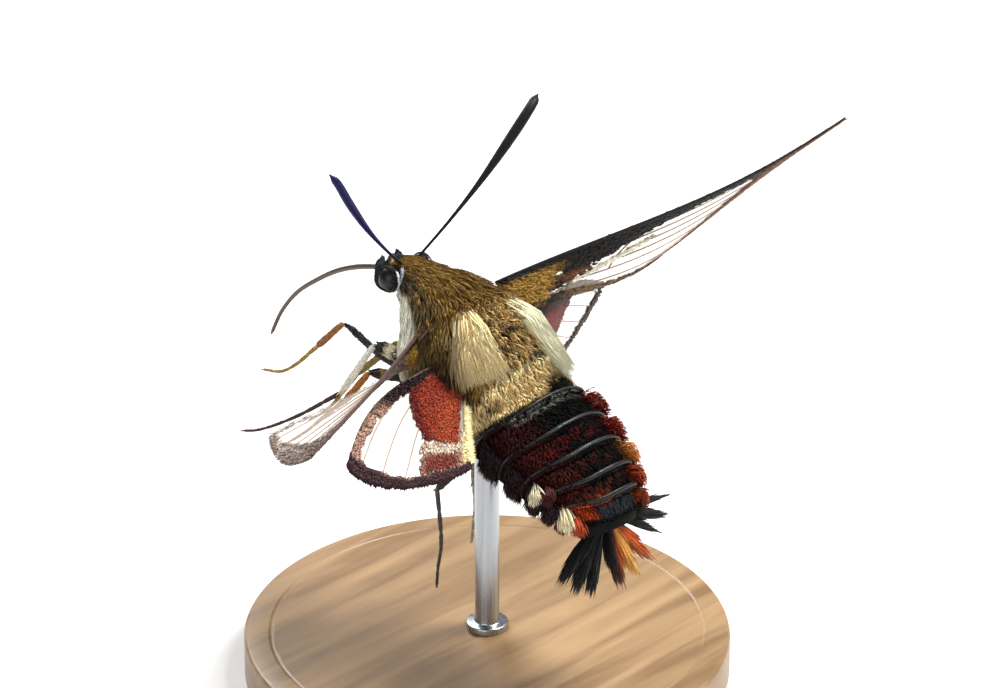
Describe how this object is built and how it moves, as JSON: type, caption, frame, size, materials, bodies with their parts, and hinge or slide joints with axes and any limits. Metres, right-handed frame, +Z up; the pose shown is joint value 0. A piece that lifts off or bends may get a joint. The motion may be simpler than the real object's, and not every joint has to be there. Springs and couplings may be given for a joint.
{
  "type": "hummingbird clearwing moth model",
  "caption": "Life-size hovering clearwing moth with raised clear wings, furred body, fanned tail and outstretched tongue, on a plain disc-and-rod display stand.",
  "frame": {"origin": "middle of the underside of the stand's base", "axes": "+X to the moth's right, +Y along its heading, +Z up"},
  "size_m": [0.0516, 0.0361, 0.0366],
  "materials": {
    "fur_olive": "dense olive-gold fur, paler underneath and along the sides",
    "fur_tan": "dense tan-yellow fur",
    "fur_maroon": "close dark maroon and black scales with glossy rims",
    "fur_rust": "long orange and black tail scales",
    "fur_black": "long black tail scales",
    "eye": "dark, smooth and shiny",
    "feeler_horn": "black with a faint violet and green sheen",
    "tongue_horn": "smooth dark brown",
    "leg_scales": "dark scales with cream bands",
    "foot_horn": "olive-brown",
    "wing_film": "clear film with dark veins and a red-brown scaled border",
    "stand_wood": "plain pale wood, satin",
    "stand_steel": "satin"
  },
  "bodies": {
    "root": {"head": "fur_olive", "eye_left": "eye", "eye_right": "eye", "palpus_left": "fur_olive", "palpus_right": "fur_olive", "proboscis": "tongue_horn", "antenna_left": "feeler_horn", "antenna_right": "feeler_horn", "forewing_right": "wing_film", "forewing_left": "wing_film", "hindwing_right": "wing_film", "hindwing_left": "wing_film", "thorax": "fur_olive", "abdomen_1": "fur_tan", "abdomen_2": "fur_maroon", "abdomen_3": "fur_maroon", "abdomen_4": "fur_maroon", "abdomen_5": "fur_maroon", "abdomen_6": "fur_maroon", "tail_fan_left": "fur_black", "tail_fan_middle": "fur_rust", "tail_fan_right": "fur_black", "leg_front_left_femur": "leg_scales", "leg_front_left_tibia": "leg_scales", "leg_front_left_tarsus": "foot_horn", "leg_front_right_femur": "leg_scales", "leg_front_right_tibia": "leg_scales", "leg_front_right_tarsus": "foot_horn", "leg_middle_left_femur": "leg_scales", "leg_middle_left_tibia": "leg_scales", "leg_middle_left_tarsus": "foot_horn", "leg_middle_right_femur": "leg_scales", "leg_middle_right_tibia": "leg_scales", "leg_middle_right_tarsus": "foot_horn", "leg_rear_left_femur": "leg_scales", "leg_rear_left_tibia": "leg_scales", "leg_rear_left_tarsus": "foot_horn", "leg_rear_right_femur": "leg_scales", "leg_rear_right_tibia": "leg_scales", "leg_rear_right_tarsus": "foot_horn", "stand_base": "stand_wood", "stand_rod": "stand_steel"}
  },
  "joints": []
}
